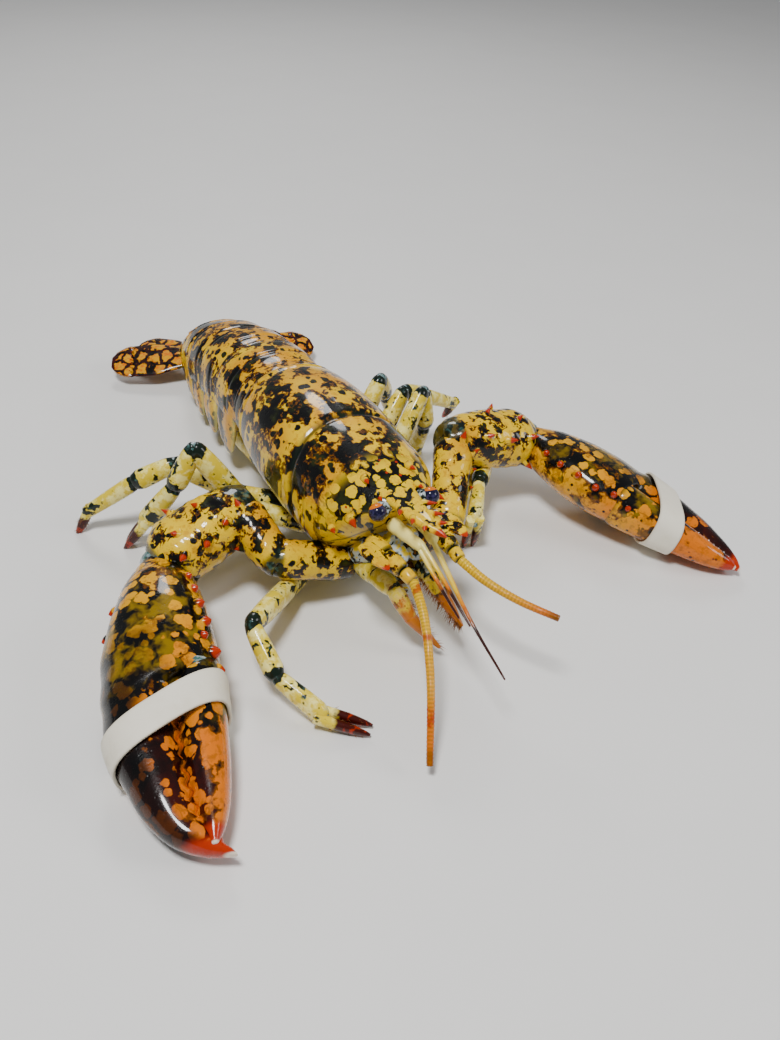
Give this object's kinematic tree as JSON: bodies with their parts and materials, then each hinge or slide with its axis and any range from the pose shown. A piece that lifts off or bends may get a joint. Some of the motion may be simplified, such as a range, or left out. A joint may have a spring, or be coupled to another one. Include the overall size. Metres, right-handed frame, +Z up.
{
  "type": "american lobster",
  "caption": "Life-size calico American lobster resting on its legs, claws and tail fan, with a rubber band round each claw.",
  "frame": {"origin": "middle of the base of the whole animal, on the floor it rests on", "axes": "+Z up; the head points to -Y, the tail to +Y, and the animal's left side is +X"},
  "size_m": [0.2658, 0.3112, 0.0657],
  "materials": {
    "shell": "wet glossy shell, orange and yellow blotches on black-olive",
    "pale_shell": "glossy thin shell, pale yellow with dark joints",
    "claw": "wet glossy heavy shell with red-orange knobs",
    "feeler": "ringed, satin",
    "eye": "shiny blue-black",
    "band": "matt cream rubber"
  },
  "bodies": {
    "root": {"eye_right": "eye", "eye_left": "eye", "sternum": "pale_shell", "carapace": "shell", "tail_segment_1": "shell", "tail_segment_2": "shell", "tail_segment_3": "shell", "tail_segment_4": "shell", "tail_segment_5": "shell", "tail_segment_6": "shell", "telson": "shell", "tail_fan_inner_right": "shell", "tail_fan_outer_right": "shell", "tail_fan_inner_left": "shell", "tail_fan_outer_left": "shell", "antennule_right": "feeler", "antennule_left": "feeler", "antenna_base_right": "pale_shell", "antenna_right": "feeler", "antenna_base_left": "pale_shell", "antenna_left": "feeler", "outer_jaw_right": "pale_shell", "outer_jaw_left": "pale_shell", "claw_ischium_right": "claw", "claw_merus_right": "claw", "claw_carpus_right": "claw", "claw_palm_right": "claw", "claw_finger_right": "claw", "band_right": "band", "claw_ischium_left": "claw", "claw_merus_left": "claw", "claw_carpus_left": "claw", "claw_palm_left": "claw", "claw_finger_left": "claw", "band_left": "band", "leg_right_2_upper": "pale_shell", "leg_right_2_wrist": "pale_shell", "leg_right_2_foot": "pale_shell", "leg_right_3_upper": "pale_shell", "leg_right_3_wrist": "pale_shell", "leg_right_3_foot": "pale_shell", "leg_right_4_upper": "pale_shell", "leg_right_4_wrist": "pale_shell", "leg_right_4_foot": "pale_shell", "leg_right_5_upper": "pale_shell", "leg_right_5_wrist": "pale_shell", "leg_right_5_foot": "pale_shell", "leg_left_2_upper": "pale_shell", "leg_left_2_wrist": "pale_shell", "leg_left_2_foot": "pale_shell", "leg_left_3_upper": "pale_shell", "leg_left_3_wrist": "pale_shell", "leg_left_3_foot": "pale_shell", "leg_left_4_upper": "pale_shell", "leg_left_4_wrist": "pale_shell", "leg_left_4_foot": "pale_shell", "leg_left_5_upper": "pale_shell", "leg_left_5_wrist": "pale_shell", "leg_left_5_foot": "pale_shell"}
  },
  "joints": []
}
